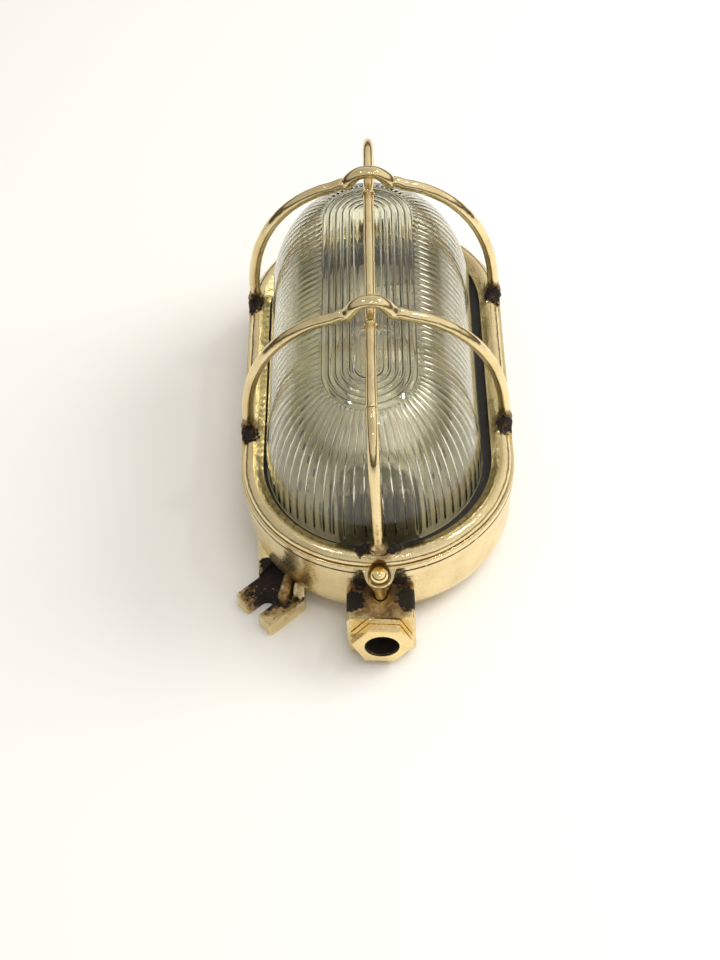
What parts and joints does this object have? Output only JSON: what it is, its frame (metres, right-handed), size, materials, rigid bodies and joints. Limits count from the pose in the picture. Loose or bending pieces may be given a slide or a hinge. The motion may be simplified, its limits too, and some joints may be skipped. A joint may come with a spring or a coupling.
{
  "type": "ship lantern",
  "caption": "Oval cast brass ship passageway light with a ribbed glass dome under a brazed rod guard, hinged cover, knob-headed closing screw, cable gland and forked fixing lugs.",
  "frame": {"origin": "centre of the flat back of the housing, in the plane of the wall it is fixed to", "axes": "+Z out of the wall towards the guard; +Y along the long axis towards the cover hinge, so the gland and closing screw are at -Y; +X across"},
  "size_m": [0.132, 0.2576, 0.1239],
  "materials": {
    "cast_brass": "polished casting with dark as-cast recesses",
    "rod_brass": "polished rod with tarnish at the joints",
    "turned_brass": "bright turned brass",
    "dull_brass": "dull stamped brass",
    "dome_glass": "clear pressed glass",
    "bulb_glass": "clear blown glass",
    "black_rubber": "matt rubber",
    "grey_plate": "grey stoved paint on steel",
    "zinc_steel": "dull zinc plate",
    "black_moulding": "black moulded insulator",
    "cream_moulding": "cream moulded insulator",
    "wire_brown": "brown sleeve",
    "wire_blue": "blue sleeve",
    "wire_green": "green sleeve",
    "tungsten": "fine dark wire",
    "white_metal": "plain cap metal"
  },
  "bodies": {
    "housing": {"back_housing": "cast_brass", "housing_gasket": "black_rubber", "hinge_pin": "turned_brass", "gear_plate": "grey_plate", "gear_plate_screws": "zinc_steel", "lamp_bracket": "zinc_steel", "bracket_screws": "zinc_steel", "holder_body": "cream_moulding", "holder_shell": "dull_brass", "holder_contact": "dull_brass", "holder_screws": "zinc_steel", "terminal_block": "cream_moulding", "terminal_tubes": "dull_brass", "terminal_screws": "zinc_steel", "terminal_fixing_screws": "zinc_steel", "live_wire": "wire_brown", "neutral_wire": "wire_blue", "earth_wire": "wire_green", "earth_screw": "turned_brass", "earth_washer": "dull_brass", "gland_seal": "black_rubber"},
    "cover": {"cover_ring": "cast_brass", "near_guard_arch": "rod_brass", "far_guard_arch": "rod_brass", "long_guard_bar": "rod_brass", "glass_dome": "dome_glass", "glass_gasket": "black_rubber", "glass_retaining_ring": "dull_brass"},
    "screw_washer": {"closing_screw_washer": "dull_brass"},
    "screw": {"closing_screw": "turned_brass"},
    "gland_follower": {"gland_washer": "dull_brass"},
    "gland": {"gland_nut": "turned_brass"},
    "lamp": {"bulb_envelope": "bulb_glass", "bulb_cap": "white_metal", "bulb_insulator": "black_moulding", "bulb_contact": "white_metal", "bulb_stem": "bulb_glass", "bulb_filament": "tungsten"}
  },
  "joints": [
    {"name": "cover_hinge", "type": "hinge", "parent": "housing", "child": "cover", "pos_m": [0, 0.1184, 0.0344], "axis": [-1, 0, 0], "range_deg": [0, 110]},
    {"name": "closing_screw_lift", "type": "slide", "parent": "cover", "child": "screw_washer", "axis": [0, 0, 1], "range_m": [0, 0.008]},
    {"name": "closing_screw_turn", "type": "hinge", "parent": "screw_washer", "child": "screw", "pos_m": [0, -0.1148, 0.04], "axis": [0, 0, 1], "range_deg": [0, 2882]},
    {"name": "gland_follower_slide", "type": "slide", "parent": "housing", "child": "gland_follower", "axis": [0, -1, 0], "range_m": [0, 0.004]},
    {"name": "gland_nut_turn", "type": "hinge", "parent": "gland_follower", "child": "gland", "pos_m": [0, -0.13, 0.0145], "axis": [0, -1, 0], "range_deg": [0, 962]},
    {"name": "lamp_turn", "type": "hinge", "parent": "housing", "child": "lamp", "pos_m": [0, -0.05, 0.06], "axis": [0, 1, 0], "continuous": true}
  ],
  "couplings": [
    {"joint": "closing_screw_turn", "follows": "closing_screw_lift", "rad_per_m": 6283.2},
    {"joint": "gland_nut_turn", "follows": "gland_follower_slide", "rad_per_m": 4188.8}
  ]
}
